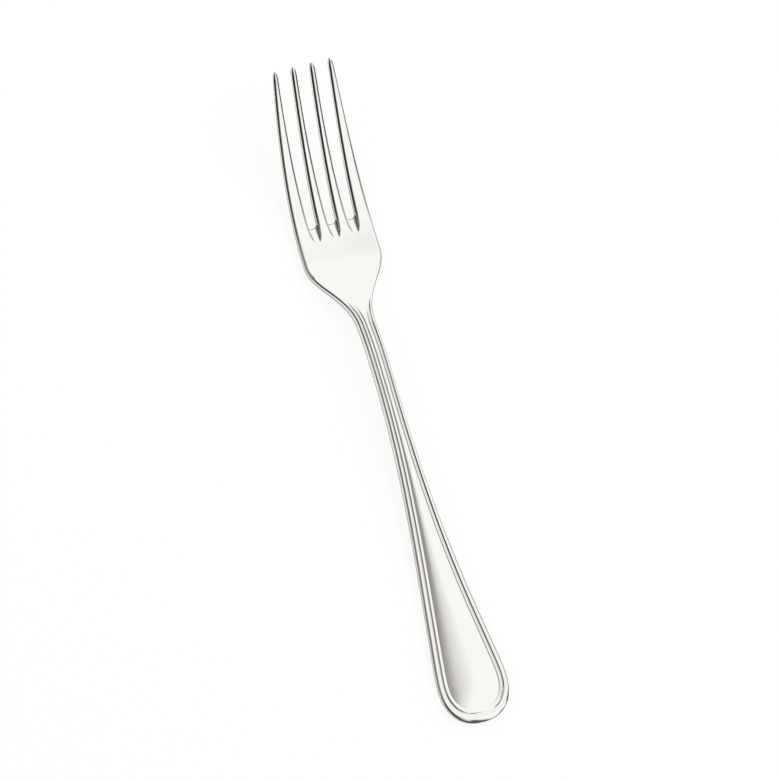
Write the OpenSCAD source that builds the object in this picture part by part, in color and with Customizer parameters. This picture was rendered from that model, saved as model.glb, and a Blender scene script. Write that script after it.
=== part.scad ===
// Dinner fork, one stamped and pressed piece of stainless steel, lying on its back.
// The fork runs along +Y from the handle's end to the tine points, +X is to the right, +Z is up.
// The origin is on the table, under the middle of the fork's box.
//
// The shape is made the way the press makes it. A flat outline is laid out in rows, from the round
// end of the handle to the points. Each row has the same columns. On the handle the columns follow
// the struck border, and on the head the same columns become the edges of the tines. The relief is
// struck into the rows, and the whole blank is then bent along its side profile.

/* [Handle] */
// Width of the handle at its widest place
handle_w = 22.2; // [18:0.1:26]
// Length of the rounded end of the handle
end_l = 12.5; // [9:0.5:16]
// Fullness of the rounded end, where 2 is an ellipse and more is squarer
end_fullness = 2.3; // [1.8:0.1:3]
// Length of the taper from the widest place to the neck
taper_l = 94.5; // [80:0.5:110]
// Thickness of the handle at its rim
handle_t = 2.4; // [1.8:0.1:3.2]
// Height of the handle's crowned panel from the groove round it to its middle
crown_h = 0.85; // [0:0.05:1.2]

/* [Border] */
// Width of the raised rim along the sides of the handle
rim_w = 1.6; // [1.2:0.05:1.9]
// Width of the raised rim round the very end of the handle
rim_end_w = 2.3; // [1.6:0.05:2.8]
// Width of the fine bead inside the rim
bead_w = 1.25; // [0.8:0.05:1.5]
// Width of the rounding on the rim's outer edge
rim_edge_w = 0.4; // [0.2:0.05:0.5]
// Width of the slope from the rim's top down into its groove
rim_slope_w = 0.45; // [0.3:0.05:0.6]
// Depth of the two grooves beside the bead
groove_d = 0.32; // [0.15:0.01:0.5]
// How far the bead's top lies under the rim's top
bead_drop = 0.06; // [0:0.01:0.12]

/* [Neck] */
// Width of the neck
neck_w = 6; // [5.4:0.1:8]
// Length of the straight neck
neck_l = 18.5; // [12:0.5:30]
// Thickness of the neck, the stoutest place of the fork
neck_t = 3.2; // [2.6:0.1:4]
// Height of the neck's arch over the table
neck_rise = 5.1; // [2:0.1:8]
// Length of the shoulder, over which the border fades and the head widens
shoulder_l = 23; // [18:0.5:30]

/* [Head] */
// Width of the head at its widest place
head_w = 24.9; // [22:0.1:28]
// Width over the outer tines at their points
points_w = 19.5; // [18:0.1:24]
// Length of the solid palm, from the shoulder to the gaps between the tines
palm_l = 12; // [8:0.5:16]
// Thickness of the head
head_t = 2.7; // [2:0.1:3.2]
// Height of the head's long edges over its middle
dish_h = 0.3; // [0:0.05:1.2]

/* [Tines] */
// Number of tines
tine_count = 4; // [3, 4]
// Length of the tines
tine_l = 46.5; // [38:0.5:52]
// Distance between the gaps where they start
gap_pitch = 6.3; // [6:0.05:6.6]
// Distance between the gaps at the points
gap_points_pitch = 6.1; // [5.9:0.05:6.2]
// Width of a gap where it starts
gap_w = 3.1; // [2.6:0.05:3.6]
// Width of a gap at the points
gap_points_w = 4.45; // [4.35:0.05:4.7]
// How far the middle of a gap's start lies behind its sides
gap_round = 0.8; // [0.3:0.05:1.2]
// Length of the scoop that runs back into the palm from each gap
scoop_l = 4.2; // [2:0.1:5.5]
// Width of the scoop where it starts
scoop_w = 2; // [1:0.1:2.4]
// Width and height of the rounding along the tines' front edges
tine_edge = 0.42; // [0.2:0.02:0.46]
// Thickness of a tine just before its point
tine_t = 1.9; // [1.4:0.1:2.4]
// Length over which a tine is rounded to its point
point_l = 3.2; // [2:0.1:5]
// Height of the points' back over the table
point_rise = 19.4; // [12:0.1:24]
// Climb of the points, in height for each length along the table
point_slope = 0.56; // [0.4:0.01:0.7]

/* [Back] */
// Width of the rounding along the edge of the back
back_edge_w = 0.5; // [0.2:0.05:0.6]
// Height of the rounding along the edge of the back
back_edge_h = 0.6; // [0.3:0.05:0.8]
// How far the back's edges lie over its flat middle
back_round_h = 0.25; // [0:0.05:0.4]
// Width of the back's flat middle, on which the handle rests
back_flat_w = 9; // [6:0.5:10]

/* [Hidden] */

// Rows of points in each stretch of the outline
end_rows = 9;
taper_rows = 34;
neck_rows = 7;
shoulder_rows = 14;
palm_rows = 2;
scoop_rows = 5;
tine_rows = 12;
point_rows = 6;

// Columns across the front and the back for one tine, the column where an edge's rounding meets
// the top, and the first panel column of the handle
tine_cols = 8;
tine_back_cols = 4;
edge_col = 3;
panel_col = 7;
cols = tine_cols * tine_count;
back_cols = tine_back_cols * tine_count;
middle = cols / 2;
back_middle = back_cols / 2;
flat_col = floor(back_middle / 2);

// Shares chosen by eye from the outline that such a fork has
taper_shares = [0.09, 0.51];
shoulder_shares = [0.48, 0.35];
neck_border_share = 0.75;
spine_share = 0.72;
level_share = 0.26;
neck_top_share = 0.5;
flat_share = 0.25;
blunt_share = 0.3;
back_flat_share = 0.5;
foot_share = 0.45;
brow_share = 0.8;
head_fall = 1.64;
scoop_edge_gain = 3;

// Places along the fork
taper_y = end_l;
neck_y = taper_y + taper_l;
shoulder_y = neck_y + neck_l;
palm_y = shoulder_y + shoulder_l;
root_y = palm_y + palm_l;
scoop_y = root_y - scoop_l;
fork_l = root_y + tine_l;
point_y = fork_l - point_l;
level_y = taper_y + level_share * (taper_l - end_l);
arch_y = neck_y + neck_top_share * neck_l;
bowl_y = palm_y + flat_share * (palm_l - scoop_l);
palm_row = end_rows + taper_rows + neck_rows + shoulder_rows;
root_row = palm_row + palm_rows + scoop_rows;
last_row = root_row + tine_rows + point_rows;

function clip(u) = min(1, max(0, u));
function mix(a, b, u) = a + (b - a) * u;
function ease(u) = clip(u) ^ 2 * (3 - 2 * clip(u));
function bezier(p, u) =
    p[0] * (1 - u) ^ 3 + 3 * p[1] * u * (1 - u) ^ 2 + 3 * p[2] * u ^ 2 * (1 - u) + p[3] * u ^ 3;

// A cubic from one height to another, level at its start, with a given climb at its end
function climb(from, to, run, slope, u) =
    mix(from, to, u ^ 2 * (3 - 2 * u)) + slope * run * (u ^ 3 - u ^ 2);

// Outline, as half width and place, for the left side of the fork
function end_outline(u) = [
    handle_w / 2 * sin(90 * u) ^ (2 / end_fullness),
    end_l * (1 - cos(90 * u) ^ (2 / end_fullness))
];
function taper_outline(u) = bezier([
    [handle_w / 2, taper_y],
    [handle_w / 2, taper_y + taper_shares[0] * taper_l],
    [neck_w / 2, neck_y - taper_shares[1] * taper_l],
    [neck_w / 2, neck_y]
], u);
function shoulder_outline(u) = bezier([
    [neck_w / 2, shoulder_y],
    [neck_w / 2, shoulder_y + shoulder_shares[0] * shoulder_l],
    [head_w / 2, palm_y - shoulder_shares[1] * shoulder_l],
    [head_w / 2, palm_y]
], u);
function head_outline(y) = [
    mix(head_w, points_w, ((y - palm_y) / (fork_l - palm_y)) ^ head_fall) / 2,
    y
];

// A row is the outline's point, the row's place on the middle line, and its turn round the end
function end_row(u) = let (p = end_outline(u)) [p, mix(spine_share * end_l, end_l, u), u];
function straight_row(p) = [p, p[1], 1];
rows = concat(
    [for (i = [0:end_rows - 1]) end_row(i / end_rows)],
    [for (i = [0:taper_rows - 1]) straight_row(taper_outline(i / taper_rows))],
    [for (i = [0:neck_rows - 1]) straight_row([neck_w / 2, neck_y + neck_l * i / neck_rows])],
    [for (i = [0:shoulder_rows - 1]) straight_row(shoulder_outline(i / shoulder_rows))],
    [for (i = [0:palm_rows - 1]) straight_row(head_outline(mix(palm_y, scoop_y, i / palm_rows)))],
    [for (i = [0:scoop_rows - 1]) straight_row(head_outline(mix(scoop_y, root_y, i / scoop_rows)))],
    [for (i = [0:tine_rows - 1]) straight_row(head_outline(mix(root_y, point_y, i / tine_rows)))],
    [for (i = [0:point_rows]) straight_row(head_outline(mix(point_y, fork_l, sin(90 * i / point_rows))))]
);

// Thickness along the fork
function thickness(y) =
    y < arch_y ? mix(handle_t, neck_t, ease((y - taper_y) / (arch_y - taper_y)))
    : y < bowl_y ? mix(neck_t, head_t, ease((y - arch_y) / (bowl_y - arch_y)))
    : mix(head_t, tine_t, clip((y - bowl_y) / (point_y - bowl_y)));

// Height of the back's middle line over the table, and its climb
function back_rise(y) =
    y < level_y ? 0
    : y < arch_y ? climb(0, neck_rise, arch_y - level_y, 0, (y - level_y) / (arch_y - level_y))
    : y < bowl_y ? climb(neck_rise, 0, bowl_y - arch_y, 0, (y - arch_y) / (bowl_y - arch_y))
    : climb(0, point_rise, fork_l - bowl_y, point_slope, (y - bowl_y) / (fork_l - bowl_y));
step_l = fork_l / last_row ^ 2;
function back_angle(y) = atan((back_rise(y + step_l) - back_rise(y - step_l)) / (2 * step_l));

// Bends a point of the flat blank, given as across, along and height over the back
function bent(x, y, h) = [
    x,
    y - h * sin(back_angle(y)),
    back_rise(y) + h * cos(back_angle(y))
];

// Share of the head's layout in a row, and share of the border that has faded on the shoulder
function headness(y) = ease((y - shoulder_y) / shoulder_l);
function faded(y) = ease(2 * (y - shoulder_y) / shoulder_l);

// Border sizes, which grow a little finer along the taper, and the rim is broader round the end
function border_share(y) = mix(1, neck_border_share, clip((y - taper_y) / taper_l));
function rim_here(y, around) = border_share(y) * mix(rim_end_w, rim_w, ease(around));
function bead_here(y) = border_share(y) * bead_w;
function border_here(y, around) = rim_here(y, around) + bead_here(y);

// Distance in from the edge of each border column: two at the back edge, two at the wall,
// then the rim, its groove, the bead and the panel's groove
function inset(j, y, around) = [
    back_edge_w,
    0,
    0,
    rim_edge_w,
    rim_here(y, around) - rim_slope_w,
    rim_here(y, around),
    rim_here(y, around) + bead_here(y) / 2,
    border_here(y, around)
][j];

// How far each border column lies under the top
function border_drop(j) = [0, 0, 0, 0, 0, groove_d, bead_drop, groove_d][j];

// Gaps between the tines: how far the scoop has sunk, half width, and place of a gap's middle
function sunk(y) = clip((y - scoop_y) / scoop_l);
function gap_share(y) = clip((y - root_y) / tine_l);
function gap_half(y) =
    mix(mix(scoop_w, gap_w, sunk(y)), gap_points_w, 1 - (1 - gap_share(y)) ^ 2) / 2;
function gap_x(k, y) = (k - tine_count / 2) * mix(gap_pitch, gap_points_pitch, gap_share(y));

// Distance of a gap's columns from its middle: the middle, the wall's foot, its brow, the top
function gap_reach(m, y) = [
    0,
    mix(foot_share, 1, sunk(y)) * gap_half(y),
    mix(brow_share, 1, sunk(y)) * gap_half(y),
    gap_half(y) + tine_edge
][m];

// How far a gap's columns lie under the top
function gap_drop(m, y) = [
    sunk(y) * (thickness(y) - back_edge_h),
    sunk(y) * (thickness(y) - back_edge_h),
    min(1, scoop_edge_gain * sunk(y)) * tine_edge,
    0
][m];

// Side of a tine column as its gap's number and its place beside that gap
function gap_of(j) = j % tine_cols > tine_cols / 2 ? floor(j / tine_cols) + 1 : floor(j / tine_cols);
function beside(j) = abs(j - tine_cols * gap_of(j));

// Places on the head of one front column of the left half
function tine_side_x(j, y, w) =
    gap_of(j) == 0 ? -w + inset(min(edge_col, beside(j)), y, 1)
    : gap_x(gap_of(j), y) + sign(j - tine_cols * gap_of(j)) * gap_reach(beside(j), y);
function head_x(j, y, w) =
    j % tine_cols == tine_cols / 2
    ? (tine_side_x(j - 1, y, w) + (j < middle ? tine_side_x(j + 1, y, w) : -tine_side_x(j - 1, y, w))) / 2
    : tine_side_x(j, y, w);

// How far a tine is drawn in towards its own middle near the point
function point_share(y) =
    y < point_y ? 1 : mix(blunt_share, 1, sqrt(max(0, 1 - ((y - point_y) / point_l) ^ 2)));
function tine_of(j, n) = min(tine_count - 1, floor(j / n));
function tine_middle(k, y, w) =
    (max(-w, k == 0 ? -w : gap_x(k, y) + gap_half(y))
    + min(w, k == tine_count - 1 ? w : gap_x(k + 1, y) - gap_half(y))) / 2;
function drawn_in(x, k, y, w) = mix(tine_middle(k, y, w), x, point_share(y));

// One point of the front, for a row and column j, before the right half is mirrored: across, along,
// height, and share of the way out from the middle
function front_left(row, j) =
    let (w = row[0][0], y = row[0][1], spine = row[1], around = row[2])
    let (reach = norm([w, spine - y]), border = border_here(y, around))
    let (v = clip((j - panel_col) / (middle - panel_col)))
    let (in_share = j < panel_col ? inset(j, y, around) / reach : mix(border / reach, 1, v))
    let (wide = y < palm_y ? head_w / 2 : w)
    let (x = mix(-w * (1 - in_share), head_x(j, y, wide) * w / wide, headness(y)))
    let (here = mix(y, spine, in_share), t = thickness(here))
    let (crown = crown_h * (around < 1 ? 1 : (w - border) / (handle_w / 2 - rim_w - bead_w)))
    let (struck = j < panel_col ? -border_drop(j) : crown * (1 - (1 - v) ^ 2) - groove_d)
    let (cut = gap_of(j) == 0 || beside(j) > edge_col ? 0 : gap_drop(beside(j), y))
    let (top = t + mix(struck, 0, faded(y)) - cut)
    let (h = j == 0 ? 0 : j == 1 ? back_edge_h : j == 2 ? t - tine_edge : top)
    let (back = gap_of(j) > 0 && j % tine_cols == 0 ? gap_round * headness(y) : 0)
    [x, here - back, h, around < 1 ? 1 - in_share : abs(x) / w];

// Share of a row that the back's flat middle takes
function flat_share(w) = min(back_flat_share, back_flat_w / 2 / w);

// One point of the back, for a row and a column of the left half
function back_left(row, j) =
    let (w = row[0][0], y = row[0][1], spine = row[1])
    let (edge_share = back_edge_w / norm([w, spine - y]), flat = flat_share(w))
    let (in_share = j < flat_col
        ? mix(edge_share, 1 - flat, j / flat_col)
        : 1 - flat * (back_middle - j) / (back_middle - flat_col))
    let (k = floor(j / tine_back_cols), m = j % tine_back_cols)
    let (wide = y < palm_y ? head_w / 2 : w)
    let (left = k == 0 ? -wide + back_edge_w : gap_x(k, y) + gap_half(y) + back_edge_w)
    let (right = gap_x(k + 1, y) - gap_half(y) - back_edge_w)
    let (across = k == 0 ? m / (tine_back_cols - 1) : (m - 1) / (tine_back_cols - 2))
    let (tine_x = m == 0 && k > 0 ? gap_x(k, y) : mix(left, right, across))
    let (x = mix(-w * (1 - in_share), tine_x * w / wide, headness(y)))
    let (back = k > 0 && m == 0 ? gap_round * headness(y) : 0)
    [x, mix(y, spine, in_share) - back, 0, row[2] < 1 ? 1 - in_share : abs(x) / w];

// Raises the long edges of the head for its dish, and the edges and the end of the back for its rounding
function dished(p, w, is_back) =
    let (y = p[1], out_share = clip(p[3]), flat = flat_share(w))
    let (dish = dish_h * headness(y) * (1 - gap_share(y)) * out_share ^ 2)
    let (beside_flat = clip((out_share - flat) / (1 - flat)), behind_flat = clip(1 - y / end_l))
    let (near_back = is_back ? 1 : 1 - clip(p[2] / thickness(y)))
    [p[0], y, p[2] + dish + back_round_h * (beside_flat ^ 2 + behind_flat ^ 2) * near_back];

// Thins a tine about its own middle towards the point
function thinned(p, y) = [
    p[0],
    p[1],
    mix(thickness(y) / 2, p[2], point_share(y))
];

function finished(p, row, k, is_back) =
    let (w = row[0][0], y = row[0][1])
    let (q = thinned(dished(p, w, is_back), y))
    bent(y < point_y ? q[0] : drawn_in(q[0], k, y, w), q[1], q[2]);
function front(row, j) =
    let (p = front_left(row, j <= middle ? j : cols - j))
    finished([j <= middle ? p[0] : -p[0], p[1], p[2], p[3]], row, tine_of(j, tine_cols), false);
function back(row, j) =
    let (p = back_left(row, j <= back_middle ? j : back_cols - j))
    finished([j <= back_middle ? p[0] : -p[0], p[1], p[2], p[3]], row, tine_of(j, tine_back_cols), true);

// All points, row by row: the front's columns, then the back's inner columns
row_points = cols + back_cols;
points = [
    for (row = rows) each concat(
        [for (j = [0:cols]) front(row, j)],
        [for (j = [1:back_cols - 1]) back(row, j)]
    )
];

// The middle of the fork's length, where the origin lies
y_values = [for (p = points) p[1]];
middle_y = (min(y_values) + max(y_values)) / 2;

// Numbers of the points. In the first row the left and right halves are the same points.
function front_id(i, j) = i * row_points + (i == 0 && j > middle ? cols - j : j);
function back_id(i, j) =
    j == 0 ? front_id(i, 0)
    : j == back_cols ? front_id(i, cols)
    : i * row_points + cols + (i == 0 && j > back_middle ? back_cols - j : j);

// Faces, each as two triangles, clockwise as seen from outside. The right half mirrors the left.
function quad(a, b, c, d) = [[a, b, c], [a, c, d]];
function half_quad(left, a, b, c, d) = left ? quad(a, b, c, d) : quad(b, c, d, a);
function in_gap(j, n) = j >= n && j % n == 0 || j % n == n - 1 && j < n * (tine_count - 1);
front_faces = [
    for (i = [0:last_row - 1], j = [0:cols - 1]) if (i < root_row || !in_gap(j, tine_cols))
        each half_quad((j < middle) == (i > 0),
            front_id(i, j), front_id(i + 1, j), front_id(i + 1, j + 1), front_id(i, j + 1))
];
back_faces = [
    for (i = [0:last_row - 1], j = [0:back_cols - 1]) if (i < root_row || !in_gap(j, tine_back_cols))
        each half_quad(j < back_middle,
            back_id(i, j + 1), back_id(i + 1, j + 1), back_id(i + 1, j), back_id(i, j))
];
wall_faces = [
    for (i = [root_row:last_row - 1], k = [1:tine_count - 1]) let (f = k * tine_cols, b = k * tine_back_cols)
        each concat(
            quad(back_id(i, b + 1), back_id(i + 1, b + 1), front_id(i + 1, f + 1), front_id(i, f + 1)),
            quad(front_id(i, f - 1), front_id(i + 1, f - 1), back_id(i + 1, b - 1), back_id(i, b - 1))
        )
];
root_faces = [
    for (k = [1:tine_count - 1])
        let (f = front_id(root_row, k * tine_cols), b = back_id(root_row, k * tine_back_cols))
        each concat(quad(f, f - 1, b - 1, b), quad(f + 1, f, b, b + 1))
];
function tip_ring(k) = concat(
    [for (m = [k == 0 ? 0 : 1:k == tine_count - 1 ? tine_cols : tine_cols - 1])
        front_id(last_row, k * tine_cols + m)],
    [for (m = [tine_back_cols - 1:-1:1]) back_id(last_row, k * tine_back_cols + m)]
);
tip_faces = [
    for (k = [0:tine_count - 1])
        let (ring = tip_ring(k), n = len(ring), hub = tine_cols / 2 - (k == 0 ? 0 : 1))
        for (a = [0:n - 1]) if (a != hub && a != hub - 1)
            [ring[hub], ring[(a + 1) % n], ring[a]]
];

module fork() {
    color("gainsboro")
        translate([0, -middle_y, 0])
            polyhedron(
                points = points,
                faces = concat(front_faces, back_faces, wall_faces, root_faces, tip_faces)
            );
}

fork();
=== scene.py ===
# %% [markdown]
# A dinner fork of polished stainless steel. The real fork is one piece: a flat blank is cut from sheet,
# its border and crown are struck between dies, and the press then bends it into its side profile.
# This lesson makes the fork in the same order. A blank is laid out in mesh code, a Geometry Nodes tree
# is the press, and one shader is the polish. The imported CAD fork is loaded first: it fixes the size.

import math

import bpy
import numpy as np
from mathutils import Matrix, Vector


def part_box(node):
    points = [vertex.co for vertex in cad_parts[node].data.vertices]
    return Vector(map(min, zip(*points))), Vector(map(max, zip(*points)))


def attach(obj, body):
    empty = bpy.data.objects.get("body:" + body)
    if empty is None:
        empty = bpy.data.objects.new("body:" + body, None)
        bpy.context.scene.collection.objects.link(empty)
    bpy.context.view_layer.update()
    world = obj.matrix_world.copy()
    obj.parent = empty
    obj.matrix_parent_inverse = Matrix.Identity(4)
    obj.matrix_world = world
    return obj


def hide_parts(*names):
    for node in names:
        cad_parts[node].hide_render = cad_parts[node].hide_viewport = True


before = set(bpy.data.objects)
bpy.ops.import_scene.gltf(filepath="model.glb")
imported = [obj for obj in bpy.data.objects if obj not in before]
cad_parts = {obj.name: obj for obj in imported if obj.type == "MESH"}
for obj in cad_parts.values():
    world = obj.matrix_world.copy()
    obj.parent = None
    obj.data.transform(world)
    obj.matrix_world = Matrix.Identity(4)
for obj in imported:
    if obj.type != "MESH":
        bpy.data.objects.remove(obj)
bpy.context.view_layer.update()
low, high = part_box("fork")
print("CAD fork, lowest and highest corner in metres:", low, high)

# %% [markdown]
# All lengths of the fork are written in millimetres and turned into metres where Blender needs them, with y
# measured from the handle's end. Its lengths, widths and heights are those of the CAD fork, so that the new
# piece fills the same box.

# %% Sizes of the fork
MM = 0.001

handle_w, end_l, end_fullness, taper_l, handle_t = 22.2, 12.5, 2.3, 94.5, 2.4
neck_w, neck_l, neck_t, neck_rise, shoulder_l = 6.0, 18.5, 3.2, 5.1, 23.0
head_w, points_w, palm_l, head_t, head_fall = 24.9, 19.5, 12.0, 2.7, 1.64
tine_count, tine_l, tine_t, point_l, point_rise, point_slope = 4, 46.5, 1.9, 3.2, 19.4, 0.56
gap_pitch, gap_points_pitch, gap_w, gap_points_w = 6.3, 6.1, 3.1, 4.45
back_edge_w, back_edge_h, back_round_h, back_flat_w = 0.5, 0.6, 0.25, 9.0
level_share, arch_share, bowl_share = 0.26, 0.5, 0.25

# %% [markdown]
# The fine forms go further here than in the CAD fork. The border is a rim, a groove, a bead and a shallower
# groove, and its rim is widest round the end. Each polished edge is a narrow chamfer, given as its width,
# height and fullness: a fullness of 1 is flat and 2 is round. Behind each gap the head is scooped out.

# %% Fine forms
rim_w, rim_end_w, bead_w, slope_w, border_narrowing = 1.85, 3.0, 1.25, 0.45, 0.25
groove_d, panel_groove_d, bead_drop, crown_h, crown_falloff = 0.3, 0.16, 0.06, 0.85, 0.7
end_edge, handle_edge = (1.35, 1.1, 1.25), (0.6, 0.31, 1.15)
neck_edge, head_edge = (0.7, 0.8, 1.8), (0.66, 0.31, 1.08)
dish_h, scoop_l, scoop_w, gap_round, gap_fullness = 0.15, 4.9, 2.0, 0.8, 2.6

taper_y = end_l
neck_y = taper_y + taper_l
shoulder_y = neck_y + neck_l
palm_y = shoulder_y + shoulder_l
root_y = palm_y + palm_l
scoop_y = root_y - scoop_l
fork_l = root_y + tine_l
point_y = fork_l - point_l
level_y = taper_y + level_share * (taper_l - end_l)
arch_y = neck_y + arch_share * neck_l
bowl_y = palm_y + bowl_share * (palm_l - scoop_l)
print("Length along the blank:", fork_l, "mm")

# %% [markdown]
# Lens and place of the camera come from the outline in the picture. The fork lies on a table, and its
# edges were matched from one end to the other: the camera looks down from 17 degrees to the left
# and 7 degrees towards the handle, and it is rolled, so the fork leans to the left. A lens
# 4 m away keeps the sides of the fork nearly parallel, as in the picture.

# %% Camera
IMAGE_W, IMAGE_H = 780, 781
FOCUS_PX, SENSOR_W = 13142.0, 36.0
DISTANCE = 4.0
ROLL = math.radians(17.076)
TO_LEFT, TO_HANDLE = 0.30, 0.1164
aim = Vector((0, 0.06 * MM, 6.0 * MM))
toward = Vector((-TO_LEFT, -TO_HANDLE, math.sqrt(1 - TO_LEFT**2 - TO_HANDLE**2)))
level = Vector((0, 1, 0)).cross(toward).normalized()
upward = toward.cross(level)
right = math.cos(ROLL) * level - math.sin(ROLL) * upward
above = math.sin(ROLL) * level + math.cos(ROLL) * upward
aim_px = (388.7, 395.95)

camera_data = bpy.data.cameras.new("camera")
camera_data.sensor_fit = "HORIZONTAL"
camera_data.sensor_width = SENSOR_W
camera_data.lens = FOCUS_PX * SENSOR_W / IMAGE_W
camera_data.clip_start, camera_data.clip_end = 0.1, 100.0
camera = bpy.data.objects.new("camera", camera_data)
bpy.context.scene.collection.objects.link(camera)
seat = aim + DISTANCE * toward
seat -= right * (aim_px[0] - IMAGE_W / 2) / FOCUS_PX * DISTANCE
seat += above * (aim_px[1] - IMAGE_H / 2) / FOCUS_PX * DISTANCE
turn = Matrix((right, above, toward)).transposed().to_4x4()
camera.matrix_world = Matrix.Translation(seat) @ turn
bpy.context.scene.camera = camera
print("Lens", round(camera_data.lens, 1), "mm, camera at", [round(v, 3) for v in seat])

# %% [markdown]
# Shader and Geometry Nodes maths is easier to read as Python. A Value wraps one socket, and +, -, * and /
# add the Math node. The same class serves both kinds of tree. Any other node is added by
# node(), which takes its type, its settings, and the values or links of its sockets.

# %% Maths on sockets
class Value:
    def __init__(self, tree, socket):
        self.tree, self.socket = tree, socket

    def math(self, operation, *others, clamp=False):
        made = node(self.tree, "ShaderNodeMath", {"operation": operation, "use_clamp": clamp},
                    dict(enumerate((self, *others))))
        return Value(self.tree, made.outputs[0])

    def __add__(self, other):
        return self.math("ADD", other)

    def __sub__(self, other):
        return self.math("SUBTRACT", other)

    def __mul__(self, other):
        return self.math("MULTIPLY", other)

    def __truediv__(self, other):
        return self.math("DIVIDE", other)

    def __pow__(self, other):
        return self.math("POWER", other)

    __radd__, __rmul__ = __add__, __mul__

    def __rsub__(self, other):
        return constant(self.tree, other).math("SUBTRACT", self)

    def __rtruediv__(self, other):
        return constant(self.tree, other).math("DIVIDE", self)


def node(tree, kind, settings=None, sockets=None):
    made = tree.nodes.new(kind)
    for name, setting in (settings or {}).items():
        setattr(made, name, setting)
    for key, value in (sockets or {}).items():
        if isinstance(value, Value):
            tree.links.new(value.socket, made.inputs[key])
        elif isinstance(value, bpy.types.NodeSocket):
            tree.links.new(value, made.inputs[key])
        else:
            made.inputs[key].default_value = value
    return made


def constant(tree, number):
    made = node(tree, "ShaderNodeValue")
    made.outputs[0].default_value = number
    return Value(tree, made.outputs[0])


def clip(value):
    return value.math("ADD", 0.0, clamp=True)


def ease(value):
    held = clip(value)
    return held * held * (3.0 - 2.0 * held)


def mix(a, b, share):
    return a + (b - a) * share


# %% [markdown]
# The outline is the cutter's line: half widths along the fork. The end is a superellipse, and the head
# narrows to the points by a power. The taper and the shoulders are Bezier curves, whose pulls say how far
# each end keeps its direction.

# %% Outline of the blank
def bezier(p, t):
    p, t = np.array(p, float), np.asarray(t)[:, None]
    return p[0] * (1 - t) ** 3 + 3 * p[1] * t * (1 - t) ** 2 + 3 * p[2] * t * t * (1 - t) + p[3] * t**3


def even(curve, count):
    """Points at equal steps along a curve, without its last point"""
    step = np.r_[0, np.cumsum(np.hypot(*np.diff(curve, axis=0).T))]
    want = np.linspace(0, step[-1], count + 1)[:-1]
    return np.c_[np.interp(want, step, curve[:, 0]), np.interp(want, step, curve[:, 1])]


fine = np.linspace(0, 1, 2001)
half_pi = np.pi / 2
taper_pull, taper_end_pull = 0.09 * taper_l, 0.51 * taper_l
shoulder_pull, shoulder_end_pull = 0.48 * shoulder_l, 0.35 * shoulder_l
end_line = np.c_[handle_w / 2 * np.sin(half_pi * fine) ** (2 / end_fullness),
                 end_l * (1 - np.cos(half_pi * fine) ** (2 / end_fullness))]
taper_line = bezier([[handle_w / 2, taper_y], [handle_w / 2, taper_y + taper_pull],
                     [neck_w / 2, neck_y - taper_end_pull], [neck_w / 2, neck_y]], fine)
neck_line = np.c_[np.full(2, neck_w / 2), [neck_y, shoulder_y]]
shoulder_line = bezier([[neck_w / 2, shoulder_y], [neck_w / 2, shoulder_y + shoulder_pull],
                        [head_w / 2, palm_y - shoulder_end_pull], [head_w / 2, palm_y]], fine)


def head_half(y):
    return (head_w + (points_w - head_w) * ((y - palm_y) / (fork_l - palm_y)) ** head_fall) / 2


print("Half widths at the palm and the points:", head_half(palm_y), head_half(fork_l))

# %% [markdown]
# The blank has one row of points for each place along the fork. Rows lie at even steps on the handle, crowd
# together towards the gaps' start, where the scoops end, and again at the points of the tines.

# %% Rows of the blank
END_ROWS, TAPER_ROWS, NECK_ROWS, SHOULDER_ROWS = 60, 130, 26, 44
PALM_ROWS, SCOOP_ROWS, TINE_ROWS, POINT_ROWS = 14, 16, 70, 14
scoop_crowding = 1.6
scoop_ys = root_y - scoop_l * (1 - np.linspace(0, 1, SCOOP_ROWS + 1)[:-1]) ** scoop_crowding
palm_ys = np.linspace(palm_y, scoop_y, PALM_ROWS + 1)[:-1]
tine_ys = np.linspace(root_y, point_y, TINE_ROWS + 1)[:-1]
point_ys = point_y + point_l * np.sin(half_pi * np.linspace(0, 1, POINT_ROWS + 1))
head_ys = np.r_[palm_ys, scoop_ys, tine_ys, point_ys]
edge_line = np.vstack([even(end_line, END_ROWS), even(taper_line, TAPER_ROWS), even(neck_line, NECK_ROWS),
                       even(shoulder_line, SHOULDER_ROWS), np.c_[head_half(head_ys), head_ys]])
root_row = END_ROWS + TAPER_ROWS + NECK_ROWS + SHOULDER_ROWS + PALM_ROWS + SCOOP_ROWS
print("Rows in the blank:", len(edge_line), "and the gaps start at row", root_row)

# %% [markdown]
# The sheet is closed: it has a front and a back that meet on its walls. Its thickness changes along the fork,
# from the handle to a thicker neck and down to thin points, and an edge is a superellipse between the wall
# and the face.

# %% Thickness and edges
def rounding(count, edge):
    """Steps in and down along an edge of this width, height and fullness, from outside to the top"""
    width, height, fullness = edge
    phi = half_pi * np.arange(count + 1) / count
    return width * (1 - np.cos(phi) ** (2 / fullness)), height * (1 - np.sin(phi) ** (2 / fullness))


def smooth(u):
    u = np.clip(u, 0, 1)
    return u * u * (3 - 2 * u)


def lerp(a, b, u):
    return a + (b - a) * u


def thickness(y):
    body = np.where(y < arch_y, lerp(handle_t, neck_t, smooth((y - taper_y) / (arch_y - taper_y))),
                    lerp(neck_t, head_t, smooth((y - arch_y) / (bowl_y - arch_y))))
    return np.where(y < bowl_y, body, lerp(head_t, tine_t, np.clip((y - bowl_y) / (point_y - bowl_y), 0, 1)))


def headness(y):
    """0 on the handle and the neck, 1 from the palm on"""
    return smooth((y - shoulder_y) / shoulder_l)


print("Thickness at the end, the arch and the points:",
      [round(float(thickness(y)), 2) for y in (0, arch_y, fork_l)])

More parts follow.
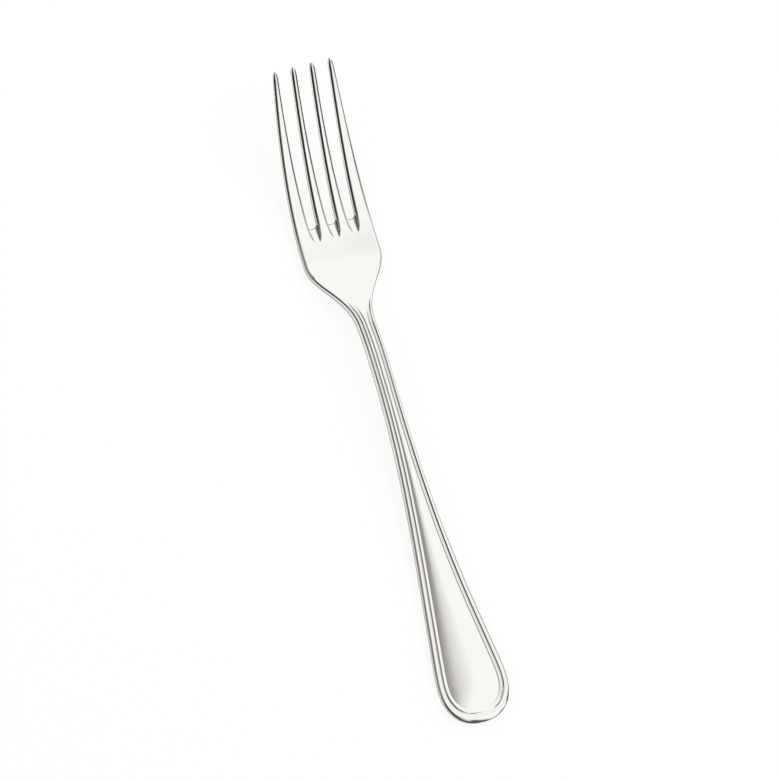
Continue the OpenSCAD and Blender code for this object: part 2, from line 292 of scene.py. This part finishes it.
# %% [markdown]
# Every row of the head has the same columns, so one function gives those of a gap. Behind a gap's start they
# form a scoop that gets wider and deeper, and beyond it they are the two walls of the gap. A wall has two
# columns close to its rims, so that it shades crisply. The foot of a cut edge and the inside of a scoop carry
# painted shade: a share that later darkens the steel's colour nearly to black, for the shade and the dark
# reflections there, and makes it a little rougher.

# %% Columns across a gap
ARC, WALL, FLOOR, BACK_ARC = 5, 3, 4, 4
CRISP, CRISP_SHARE = 0.12, 0.3
# Painted shade: the share by which the foot of a cut edge is darkened, for the shade and dark reflections
# there.
FOOT_SHADE, LIP = 0.6, 0.2
scoop_gain = 3.0


def gap_share(y):
    """How far along the gap, from 0 at its start to 1 at the points"""
    return np.clip((y - root_y) / tine_l, 0, 1)


def sunk(y):
    """How deep the scoop is here, as a share of the depth at the gap's start"""
    return np.clip((y - scoop_y) / scoop_l, 0, 1)


def gap_half(y):
    return lerp(lerp(scoop_w, gap_w, sunk(y)), gap_points_w, 1 - (1 - gap_share(y)) ** 2) / 2


def gap_middle(k, y):
    return (k - tine_count / 2) * lerp(gap_pitch, gap_points_pitch, gap_share(y))


def gap_side(y, arc, is_back):
    """Distances from a gap's middle, heights, shifts and painted shade, from the tine's face to the middle"""
    phi = half_pi * np.arange(arc + 1) / arc
    theta = half_pi * (1 - np.arange(1, FLOOR + 1) / FLOOR)
    half, t, q = gap_half(y), thickness(y), sunk(y)
    if is_back:
        near = np.clip((y - root_y + back_edge_w) / back_edge_w, 0, 1)
        lift = back_edge_h * (1 - math.sqrt(1 - near * near))
        reach = np.r_[half + back_edge_w * (1 - np.sin(phi)), half * np.sin(theta)]
        height = np.r_[lift * (1 - np.cos(phi)), np.full(FLOOR, lift)]
        painted_shade = np.r_[np.zeros(arc), FOOT_SHADE, np.zeros(FLOOR)]
    else:
        depth = q * (t - back_edge_h)
        inward, down = rounding(arc, head_edge)
        open_here = min(1, scoop_gain * q)
        reach = np.r_[half + open_here * inward[::-1], [half] * WALL, half * np.sin(theta)]
        drop = open_here * down[::-1]
        crisp = min(CRISP, CRISP_SHARE * max(0, depth - drop[-1]))
        height = t - np.r_[drop, drop[-1] + crisp, depth - crisp, depth, np.full(FLOOR, depth)]
        # Painted shade: a scoop's walls are darkened fully, its floor just behind the gap's start and the
        # foot of a wall beyond it less.
        in_scoop = 0 < q < 1
        lip = FOOT_SHADE if in_scoop and root_y - y < LIP else 0.0
        wall = [1.0] * (1 + WALL) if in_scoop else [0, 0, FOOT_SHADE, FOOT_SHADE]
        painted_shade = np.r_[np.zeros(arc), wall, np.full(FLOOR, lip)]
    shift = np.r_[np.zeros(len(reach) - FLOOR), gap_round * np.cos(theta) ** (2 / gap_fullness)]
    return reach, height, shift * headness(y) * smooth((y - scoop_y + scoop_l) / (2 * scoop_l)), painted_shade


print("Columns on each side of a gap's middle:", len(gap_side(root_y, ARC, False)[0]))

# %% [markdown]
# A half row of the head runs from the left edge over a tine, a gap and a tine to the fork's middle, which
# lies in the middle gap. The right half is its mirror image.

# %% Columns across half the head
TINE, BACK_TINE = 10, 6


def head_half_row(y, w, is_back):
    """Across, height, shift and painted shade of the head's columns, from the left edge to the middle"""
    arc = BACK_ARC if is_back else ARC
    steps = BACK_TINE if is_back else TINE
    reach, height, shift, painted_shade = gap_side(y, arc, is_back)
    top = 0.0 if is_back else float(thickness(y))
    start = -w + (back_edge_w if is_back else head_edge[0])
    parts = [[[start, top, 0, 0]]]
    for k in (1, 2):
        middle = float(gap_middle(k, y))
        face = [[lerp(start, middle - reach[0], share), top, 0, 0] for share in np.arange(1, steps) / steps]
        parts += [face, np.c_[middle - reach, height, shift, painted_shade]]
        if k == 1:
            parts.append(np.c_[middle + reach, height, shift, painted_shade][-2::-1])
            start = middle + reach[0]
    return np.vstack(parts).T


for face, is_back in (("front", False), ("back", True)):
    print("Columns across half the", face, len(head_half_row(root_y, head_w / 2, is_back)[0]))

# %% [markdown]
# Each point also carries what the press needs to know: how far it lies from the edge, how far the middle
# of its row lies from the edge, how wide the fork is there, how far round the end it is, where the flat strip
# of the back ends, and, for the steel, its painted shade.

# %% Facts about each point
FACTS = ("inset", "way_in", "out", "reach", "slant", "half", "around", "thick", "front", "flat", "painted_shade")
SHARES = ("out", "slant", "around", "front", "flat", "painted_shade")
outline = np.vstack([end_line, taper_line, [[-1, 1]] * end_line[::-1], [[-1, 1]] * taper_line])


def border_at(y, around):
    share = 1 - border_narrowing * np.clip((y - taper_y) / taper_l, 0, 1)
    return share * (lerp(rim_end_w, rim_w, smooth(around)) + bead_w)


def to_edge(points):
    return np.array([np.hypot(outline[:, 0] - p[0], outline[:, 1] - p[1]).min() for p in points])


print("Border at the very end and at the neck:", border_at(0, 0), border_at(neck_y, 1))

# %% [markdown]
# A row starts with the columns of the cut edge. Then, on the handle, most columns lie on the border and a
# few on the panel, and along the shoulders they move over to their places on the head. Round the end the
# rows fan out from one point on the fork's middle line.

# %% Points of one row
EDGE, BORDER_COLS = 6, 36
border_spare, palm_blend, least_w = 0.2, 2.0, 0.01
end_edge_gain, neck_edge_start, neck_edge_l = 1.25, 0.3 * taper_l, 0.6 * taper_l
# Painted shade also darkens the steel over the last millimetres towards the points.
point_shade, point_shade_l = 0.5, 0.9


def blank_row(i, is_back):
    """Places, heights and facts of the points of row i, from the left edge to the right edge"""
    w, y = edge_line[i]
    around = min(1.0, i / END_ROWS)
    spine = end_l if i < END_ROWS else y
    reach = math.hypot(w, spine - y)
    wide = max(w, head_w / 2) if y < palm_y else w
    hx, hh, hb, hd = head_half_row(y, wide, is_back)
    if is_back:
        phi = half_pi * np.arange(BACK_ARC) / BACK_ARC
        side_in = back_edge_w * (1 - np.cos(phi))
        side_h = back_edge_h * (1 - np.sin(phi))
        inner = lerp(back_edge_w, reach, np.linspace(0, 1, len(hx)))
        plain_h = np.zeros(len(hx))
    else:
        t = float(thickness(y))
        at_end = lerp(np.array(end_edge), handle_edge, smooth(end_edge_gain * around))
        at_neck = lerp(at_end, neck_edge, smooth((y - taper_y - neck_edge_start) / neck_edge_l))
        edge = lerp(at_neck, head_edge, headness(y))
        inward, down = rounding(EDGE, edge)
        side_in = np.r_[np.zeros(WALL), inward[:-1]]
        side_h = np.r_[back_edge_h, back_edge_h + CRISP, t - down[0] - CRISP, t - down[:-1]]
        border = border_at(y, around) + border_spare
        inner = np.r_[np.linspace(edge[0], border, BORDER_COLS + 1)[:-1],
                      np.linspace(border, reach, len(hx) - BORDER_COLS)]
        plain_h = np.full(len(hx), t)
    share = headness(y)
    inner_x = lerp(-w * (1 - inner / reach), hx * w / wide, share)
    inset = np.r_[side_in, inner] if y < shoulder_y else np.r_[side_in, w + inner_x]
    x = np.r_[-w * (1 - side_in / reach), inner_x]
    along = np.r_[lerp(y, spine, side_in / reach), lerp(y, spine, inner / reach)]
    along[len(side_in):] -= hb * share
    h = np.r_[side_h, lerp(plain_h, hh, smooth((y - palm_y + palm_blend) / palm_blend))]
    way_in, slant, out = inset, 1.0, np.clip(np.abs(x) / max(w, neck_w / 2), 0, 1)
    if i < END_ROWS:
        out = 1 - way_in / reach
        inset = to_edge(np.c_[x, along])
        border = border_at(y, around)
        slant = float(np.interp(border, inset, way_in)) / border
    flat = min(0.5, back_flat_w / 2 / max(w, least_w))
    row_facts = (reach if y < shoulder_y else w, slant, handle_w / 2 if i < END_ROWS else w, around,
                 float(thickness(y)), 0.0 if is_back else 1.0, flat)
    # Painted shade at the foot of the outer wall, in the head's columns, and towards the points.
    painted_shade = np.r_[FOOT_SHADE, 0 if is_back else FOOT_SHADE, np.zeros(len(side_in) - 2), hd * (y > palm_y)]
    painted_shade = np.maximum(painted_shade, point_shade * np.clip((y - fork_l + point_shade_l) / point_shade_l, 0, 1))
    facts = np.c_[inset, way_in, out, np.tile(row_facts, (len(x), 1)), painted_shade]
    left = np.c_[x, along, h, facts]
    right = left[-2::-1].copy()
    right[:, 0] *= -1
    return np.vstack([left, right])


print("Points in a row of the front:", len(blank_row(0, False)))

# %% [markdown]
# The real points are ground round and buffed. Here each tine is drawn in towards its own middle, in width
# and in thickness, by a share that falls from 1 to 0 along a superellipse.

# %% Points of the tines
point_along, point_across = 3.2, 2.2


def drawn_points(row, y):
    if y <= point_y:
        return row
    share = max(0, 1 - ((y - point_y) / point_l) ** point_along) ** (1 / point_across)
    w, half = head_half(y), gap_half(y)
    middles = [float(gap_middle(k, y)) for k in range(tine_count + 1)]
    starts = [-w] + [m + half for m in middles[1:-1]]
    ends = [m - half for m in middles[1:-1]] + [w]
    made = row.copy()
    centre = np.array([(a + b) / 2 for a, b in zip(starts, ends)])
    own = np.abs(row[:, :1] - centre).argmin(axis=1)
    made[:, 0] = lerp(centre[own], row[:, 0], share)
    made[:, 2] = lerp(row[:, FACTS.index("thick") + 3] / 2, row[:, 2], share)
    return made


front = np.array([drawn_points(blank_row(i, False), edge_line[i][1]) for i in range(len(edge_line))])
back = np.array([drawn_points(blank_row(i, True), edge_line[i][1]) for i in range(len(edge_line))])
print("Front grid:", front.shape[:2], "back grid:", back.shape[:2])

# %% [markdown]
# The cells between the points become faces. The floors of the gaps are dropped beyond their start, and
# points that lie on each other, such as front and back on a wall, are welded so that the sheet is closed.

# %% Mesh of the blank
gap_cols = 2 * FLOOR
front_gap = WALL + EDGE + TINE + ARC + WALL
front_pitch = gap_cols + 2 * (WALL + ARC) + TINE
back_gap = BACK_ARC + BACK_TINE + BACK_ARC
back_pitch = gap_cols + 2 * BACK_ARC + BACK_TINE


def open_columns(first, pitch, count):
    """Cells that are open in the gaps, as a set of column numbers of the whole row"""
    half_cells = set(range(first, first + gap_cols))
    half_cells |= set(range(first + pitch, first + pitch + gap_cols // 2))
    return half_cells | {count - 2 - c for c in half_cells}


front_open = open_columns(front_gap, front_pitch, front.shape[1])
back_open = open_columns(back_gap, back_pitch, back.shape[1])


def faces(grid, first_id, open_cells, outward):
    rows, cols = grid.shape[:2]
    made = []
    for i in range(rows - 1):
        for j in range(cols - 1):
            if i >= root_row and j in open_cells:
                continue
            a = first_id + i * cols + j
            quad = (a, a + 1, a + cols + 1, a + cols)
            made.append(quad if outward else quad[::-1])
    return made


points = np.vstack([front.reshape(-1, front.shape[2]), back.reshape(-1, back.shape[2])])
cells = faces(front, 0, front_open, True) + faces(back, front.shape[0] * front.shape[1], back_open, False)
shift_y = -low[1] / MM
blank_mesh = bpy.data.meshes.new("blank")
blank_mesh.from_pydata((points[:, :3] * MM).tolist(), [], cells)
for number, name in enumerate(FACTS, start=3):
    scale = 1.0 if name in SHARES else MM
    layer = blank_mesh.attributes.new(name, "FLOAT", "POINT")
    layer.data.foreach_set("value", (points[:, number] * scale).astype(np.float32))
blank = bpy.data.objects.new("pressed_fork", blank_mesh)
bpy.context.scene.collection.objects.link(blank)
print("Blank:", len(points), "points and", len(cells), "cells before welding")

# %% [markdown]
# The press is a Geometry Nodes tree. It strikes the border into the flat front as a function of the distance
# from the edge: rim, groove, bead, groove, and then the crowned panel. The head is dished, the back is
# rounded, and last the sheet is bent along its side profile. Each size is an input of the tree, so the
# same press makes a deeper border or a flatter fork.

# %% Inputs of the press
SIZES = {
    "Rim Width": rim_w, "End Rim Width": rim_end_w, "Bead Width": bead_w, "Slope Width": slope_w,
    "Groove Depth": groove_d, "Panel Groove Depth": panel_groove_d, "Bead Drop": bead_drop,
    "Crown Height": crown_h, "Handle Width": handle_w, "Dish Height": dish_h,
    "Back Rounding": back_round_h, "Neck Rise": neck_rise, "Point Rise": point_rise,
    "End Length": end_l, "Taper Start": taper_y, "Taper Length": taper_l,
    "Shoulder Start": shoulder_y, "Shoulder Length": shoulder_l,
    "Root Place": root_y, "Tine Length": tine_l, "Level Place": level_y, "Arch Place": arch_y,
    "Bowl Place": bowl_y, "Fork Length": fork_l, "Shift Back": shift_y,
}
press = bpy.data.node_groups.new("press", "GeometryNodeTree")
press.interface.new_socket("Geometry", in_out="INPUT", socket_type="NodeSocketGeometry")
press.interface.new_socket("Geometry", in_out="OUTPUT", socket_type="NodeSocketGeometry")
identifiers = {}
for name in (*SIZES, "Point Slope"):
    made = press.interface.new_socket(name, in_out="INPUT", socket_type="NodeSocketFloat")
    identifiers[name] = made.identifier
material_socket = press.interface.new_socket("Steel", in_out="INPUT", socket_type="NodeSocketMaterial")
group_in = press.nodes.new("NodeGroupInput")
size = {name: Value(press, group_in.outputs[name]) for name in identifiers}


def carried(name):
    made = node(press, "GeometryNodeInputNamedAttribute", {"data_type": "FLOAT"}, {"Name": name})
    return Value(press, made.outputs["Attribute"])


print("Inputs of the press:", len(identifiers) + 1)

# %% [markdown]
# The border. Away from the very end the rim gets narrower with the handle. The slope from the rim into the
# outer groove is a smooth step, and the bead is a parabola between its two grooves.

# %% Border
spot = node(press, "ShaderNodeSeparateXYZ",
            sockets={0: node(press, "GeometryNodeInputPosition").outputs[0]})
across, along, up = (Value(press, spot.outputs[n]) for n in range(3))
inset, reach, half, around = carried("inset"), carried("reach"), carried("half"), carried("around")

finer = 1.0 - border_narrowing * clip((along - size["Taper Start"]) / size["Taper Length"])
rim = finer * mix(size["End Rim Width"], size["Rim Width"], ease(around))
bead = finer * size["Bead Width"]
slope = size["Slope Width"]
border = rim + bead
place_on_bead = clip((inset - rim) / bead)
groove = mix(size["Groove Depth"], size["Panel Groove Depth"], ease(place_on_bead))
bead_top = (groove - size["Bead Drop"]) * 4.0 * place_on_bead * (1.0 - place_on_bead)
low_here = ease((inset - rim + slope) / slope)
print("Nodes for the border:", len(press.nodes))

# %% [markdown]
# The panel inside the border is crowned. Its height follows the panel's width, so that the crown gets lower
# towards the neck, and the whole relief fades out on the shoulders.

# %% Crown of the panel
LEAST_RUN = 0.0001
panel_edge = border * carried("slant")
panel_run = (reach - panel_edge).math("MAXIMUM", LEAST_RUN)
place_on_panel = clip((carried("way_in") - panel_edge) / panel_run)
widest_panel = size["Handle Width"] * 0.5 - size["Rim Width"] - size["Bead Width"]
side_border = finer * (size["Rim Width"] + size["Bead Width"])
crown = size["Crown Height"] * ((half - side_border) / widest_panel) ** crown_falloff
swell = crown * (1.0 - (1.0 - place_on_panel) ** 2.0)
on_shoulder = ease((along - size["Shoulder Start"]) * 2.0 / size["Shoulder Length"])
struck = (swell + bead_top - groove * low_here) * (1.0 - on_shoulder) * carried("front")
print("Nodes for the border and the crown:", len(press.nodes))

# %% [markdown]
# Dish and back. The long edges of the head stand a little above its middle, less and less towards the
# points, and the edges of the back are rounded up from the table.

# %% Dish and rounding
out_share, flat_share = carried("out"), carried("flat")
head = ease((along - size["Shoulder Start"]) / size["Shoulder Length"])
gap = clip((along - size["Root Place"]) / size["Tine Length"])
dish = size["Dish Height"] * head * (1.0 - gap) * out_share * out_share
near_back = 1.0 - clip(up / carried("thick"))
beside_flat = clip((out_share - flat_share) / (1.0 - flat_share)) ** 2.0
behind_flat = clip(1.0 - along / size["End Length"]) ** 2.0
height = up + struck + dish + size["Back Rounding"] * (beside_flat + behind_flat) * near_back
print("Nodes for the dish and the back:", len(press.nodes))

# %% [markdown]
# The bend. The back's middle line is made of three cubics, one up to the neck's arch, one down to the head,
# and one up to the points. A point of the blank moves out along the line's normal by its height. Points that
# lie on each other are welded first, and the tree ends with the fork made real and given its steel.

# %% Bend along the side profile
WELD = 0.000002


def climb(start, end):
    """Share of the rise, its slope, place and length of the cubic between two places"""
    run = size[end] - size[start]
    u = clip((along - size[start]) / run)
    return ease(u), 6.0 * u * (1.0 - u) / run, u, run


up_share, up_climb, _, _ = climb("Level Place", "Arch Place")
down_share, down_climb, _, _ = climb("Arch Place", "Bowl Place")
point_share, point_climb, u, run = climb("Bowl Place", "Fork Length")
rise = (size["Neck Rise"] * (up_share - down_share) + size["Point Rise"] * point_share
        + size["Point Slope"] * run * (u * u * u - u * u))
climb_here = (size["Neck Rise"] * (up_climb - down_climb) + size["Point Rise"] * point_climb
              + size["Point Slope"] * (3.0 * u * u - 2.0 * u))
stretch = (climb_here * climb_here + 1.0).math("SQRT")
bent = node(press, "ShaderNodeCombineXYZ", sockets={
    0: across,
    1: along - height * climb_here / stretch - size["Shift Back"],
    2: rise + height / stretch,
})
welded = node(press, "GeometryNodeMergeByDistance", sockets={
    "Geometry": group_in.outputs["Geometry"], "Distance": WELD})
pressed = node(press, "GeometryNodeSetPosition", sockets={
    "Geometry": welded.outputs["Geometry"], "Position": bent.outputs[0]})
whole = node(press, "GeometryNodeRealizeInstances", sockets={"Geometry": pressed.outputs[0]})
dressed = node(press, "GeometryNodeSetMaterial", sockets={
    "Geometry": whole.outputs[0], "Material": group_in.outputs["Steel"]})
group_out = press.nodes.new("NodeGroupOutput")
press.links.new(dressed.outputs[0], group_out.inputs[0])
print("Nodes in the press:", len(press.nodes))

# %% [markdown]
# Mirror polished stainless steel shows its surroundings more than itself. Its own detail is faint: buffing
# lines along the fork, which are stretched noise, and a cloudy change in gloss where it has been handled. The
# bump of these lines stays far below the border's own relief. At the foot of a cut edge, in the scoops and at
# the very points, the steel is a little rougher, and its colour is darkened nearly to black by painted shade,
# which stands for the shade and the dark reflections there.

# %% Polished steel
BRIGHT, BRIGHTER, SHADE_BLACK = (0.89, 0.89, 0.872, 1), (0.91, 0.905, 0.893, 1), (0.03, 0.03, 0.028, 1)
LINE_STRETCH = (2600.0, 60.0, 2600.0)
steel = bpy.data.materials.new("polished_steel")
steel.use_nodes = True
tree = steel.node_tree
tree.nodes.clear()
place = node(tree, "ShaderNodeTexCoord").outputs["Object"]
lines_at = node(tree, "ShaderNodeMapping", sockets={"Vector": place, "Scale": LINE_STRETCH})
lines = Value(tree, node(tree, "ShaderNodeTexNoise", sockets={
    "Vector": lines_at.outputs[0], "Scale": 1.0, "Detail": 2.0}).outputs["Fac"])
clouds = Value(tree, node(tree, "ShaderNodeTexNoise", sockets={
    "Vector": place, "Scale": 90.0, "Detail": 3.0}).outputs["Fac"])
# The painted shade read from the blank: it darkens the steel's colour and adds a little roughness.
shade_mask = Value(tree, node(tree, "ShaderNodeAttribute", {"attribute_name": "painted_shade"}).outputs["Fac"])
painted_shade = ease((shade_mask - 0.3) / 0.4)
roughness = 0.09 + 0.05 * clouds + 0.03 * lines + 0.12 * painted_shade
polished = node(tree, "ShaderNodeMix", {"data_type": "RGBA"}, {0: clouds, 6: BRIGHT, 7: BRIGHTER})
# Here the steel's colour is darkened towards near black by the painted shade.
tone = node(tree, "ShaderNodeMix", {"data_type": "RGBA"}, {0: painted_shade, 6: polished.outputs[2], 7: SHADE_BLACK})
buffed = node(tree, "ShaderNodeBump", sockets={
    "Strength": 0.04, "Distance": 0.00002, "Height": lines})
shader = node(tree, "ShaderNodeBsdfPrincipled", sockets={
    "Base Color": tone.outputs[2], "Metallic": 1.0, "Roughness": roughness, "Normal": buffed.outputs[0]})
node(tree, "ShaderNodeOutputMaterial", sockets={"Surface": shader.outputs[0]})
print("Nodes in the steel:", len(tree.nodes))

# %% [markdown]
# The blank goes through the press. The modifier's inputs are set by their identifiers before the object is
# first evaluated, and the result is kept as a plain mesh, so nothing live is left on the piece. Of the facts,
# only the painted shade stays, because the steel reads it to darken its colour and raise its roughness.

# %% Press the fork
CREASE = math.radians(62)
modifier = blank.modifiers.new("press", "NODES")
modifier.node_group = press
for name, value in SIZES.items():
    modifier[identifiers[name]] = value * MM
modifier[identifiers["Point Slope"]] = point_slope
modifier[material_socket.identifier] = steel
evaluated = blank.evaluated_get(bpy.context.evaluated_depsgraph_get())
plain = bpy.data.meshes.new_from_object(evaluated)
blank.modifiers.remove(modifier)
blank.data = plain
for name in FACTS:
    if name != "painted_shade":
        plain.attributes.remove(plain.attributes[name])
if not plain.materials:
    plain.materials.append(steel)
plain.validate()
plain.shade_smooth()
plain.set_sharp_from_angle(angle=CREASE)
plain.update()
print("Pressed fork:", len(plain.vertices), "points,", len(plain.polygons), "faces")

# %% [markdown]
# Light. Polished steel is drawn by what surrounds it: the pale parts of the room give its white, and the dark
# parts draw the thin lines along its edges. So the world is laid out for this fork, from the direction of
# the ray: dark on the left, paler overhead and palest on the right, with a pale screen across the handle.

# %% Room overhead
DARK, SCREEN, TO_MIDDLE, TO_TOP, TO_RIGHT = 0.02, 0.24, 0.28, 0.36, 0.39
SCREEN_Y, SCREEN_FALL, RIGHT_TILT = 0.12, 3.3, math.radians(21.5)
world = bpy.data.worlds.new("studio")
bpy.context.scene.world = world
world.use_nodes = True
sky = world.node_tree
sky.nodes.clear()
ray = node(sky, "ShaderNodeSeparateXYZ", sockets={0: node(sky, "ShaderNodeTexCoord").outputs["Generated"]})
rx, ry, rz = (Value(sky, ray.outputs[n]) for n in range(3))
tilt = rx.math("ARCTAN2", rz)


def from_tilt(start, end):
    """0 at the first tilt in degrees and 1 at the second, where more is further to the right"""
    return ease((tilt - math.radians(start)) / math.radians(end - start))


away = (ry - SCREEN_Y).math("ABSOLUTE")
screen = SCREEN * ease(1.0 - SCREEN_FALL * away)
overhead = (DARK + screen + (TO_MIDDLE - screen) * from_tilt(-34, -13) + TO_TOP * from_tilt(-8, 4)
            + TO_RIGHT * clip((tilt + 0.5 * away) / RIGHT_TILT))
print("Nodes for the room overhead:", len(sky.nodes))

# %% [markdown]
# Low dark flags stand on the right and round the handle's end. Each has an azimuth and a half width in
# degrees, and a height. The chamfers and the grooves that lean towards a flag turn dark. A pale far wall, low
# on the left beyond the tines, lights the slopes that lean that way. The camera itself sees a plain white
# room, and what is dark is a little warm.

# %% Flags and far wall
FLAGS = {"right": (13, 42, 0.50), "right of the handle": (-25, 24, 0.2),
         "right of the end": (-62, 28, 0.2), "behind the end": (-96, 32, 0.62)}
LOWEST_BAND, BAND_DARK, END_DARK, FAR_WALL = 0.12, 0.5, 0.42, 0.62
ROOM, PAGE = 0.9, 1.0
WARM, WHITE = (1, 0.95, 0.84, 1), (1, 0.992, 0.984, 1)
flat = (rx * rx + ry * ry).math("SQRT").math("MAXIMUM", 0.001)


def facing(degrees, wide):
    """1 where a ray points at this azimuth, 0 beyond this many degrees beside it"""
    dot = (rx * math.cos(math.radians(degrees)) + ry * math.sin(math.radians(degrees))) / flat
    return ease((dot - math.cos(math.radians(wide))) / (1 - math.cos(math.radians(wide))) * 1.5)


band_top = LOWEST_BAND
for azimuth, wide, tall in FLAGS.values():
    band_top = band_top + tall * facing(azimuth, wide)
band = 1.0 - ease((rz - 0.7 * band_top) / (0.3 * band_top))
far_wall = FAR_WALL * from_tilt(-44, -56) * facing(129, 29)
seen = (overhead + far_wall) * (1.0 - band * (BAND_DARK + END_DARK * clip(-3.0 * ry)))
path = node(sky, "ShaderNodeLightPath")
is_camera = Value(sky, path.outputs["Is Camera Ray"])
is_glossy = Value(sky, path.outputs["Is Glossy Ray"])
strength = mix(mix(ROOM, seen, is_glossy), PAGE, is_camera)
warm = node(sky, "ShaderNodeMix", {"data_type": "RGBA"}, {0: clip(seen + is_camera), 6: WARM, 7: WHITE})
background = node(sky, "ShaderNodeBackground", sockets={"Color": warm.outputs[2], "Strength": strength})
node(sky, "ShaderNodeOutputWorld", sockets={"Surface": background.outputs[0]})
print("Flags:", len(FLAGS), "and nodes in the world:", len(sky.nodes))

# %% [markdown]
# One wide window, to the right and beyond the tines, gives the soft shadow under the fork. It is hidden from
# reflections, so that it adds no highlight of its own to the steel.

# %% Window
lamp_data = bpy.data.lights.new("window", "AREA")
lamp_data.shape, lamp_data.size, lamp_data.size_y, lamp_data.energy = "RECTANGLE", 1.0, 1.0, 10.0
lamp = bpy.data.objects.new("window", lamp_data)
bpy.context.scene.collection.objects.link(lamp)
lamp.location = (0.9, 0.5, 1.3)
lamp.rotation_euler = Vector(lamp.location).to_track_quat("Z", "Y").to_euler()
lamp.visible_glossy = False
print("Window:", round(lamp.location.length, 2), "m from the fork")

# %% [markdown]
# The table is a white floor, just under the fork. Part of its white is its own glow, for the camera and for
# reflections, so that the page stays white while the shadow under the fork is kept.

# %% Floor
FLOOR_HALF, FLOOR_Z = 3.0, -0.0001
GLOW_SEEN, GLOW_MIRRORED = 0.88, 0.3
floor_mesh = bpy.data.meshes.new("floor")
corners = [(x * FLOOR_HALF, y * FLOOR_HALF, FLOOR_Z) for x, y in ((-1, -1), (1, -1), (1, 1), (-1, 1))]
floor_mesh.from_pydata(corners, [], [(0, 1, 2, 3)])
floor = bpy.data.objects.new("floor", floor_mesh)
bpy.context.scene.collection.objects.link(floor)
cloth = bpy.data.materials.new("white_floor")
cloth.use_nodes = True
tree = cloth.node_tree
tree.nodes.clear()
path = node(tree, "ShaderNodeLightPath")
lit = (GLOW_SEEN * Value(tree, path.outputs["Is Camera Ray"])
       + GLOW_MIRRORED * Value(tree, path.outputs["Is Glossy Ray"]))
matte = node(tree, "ShaderNodeBsdfDiffuse", sockets={"Color": (0.9, 0.9, 0.9, 1)})
glow = node(tree, "ShaderNodeEmission", sockets={"Color": (1, 1, 1, 1), "Strength": 1.0})
both = node(tree, "ShaderNodeMixShader", sockets={0: lit, 1: matte.outputs[0], 2: glow.outputs[0]})
node(tree, "ShaderNodeOutputMaterial", sockets={"Surface": both.outputs[0]})
floor_mesh.materials.append(cloth)
bpy.context.scene.view_settings.view_transform = "Standard"
print("Floor:", 2 * FLOOR_HALF, "m wide")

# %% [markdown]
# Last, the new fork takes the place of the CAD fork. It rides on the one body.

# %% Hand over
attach(blank, "root")
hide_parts("fork")
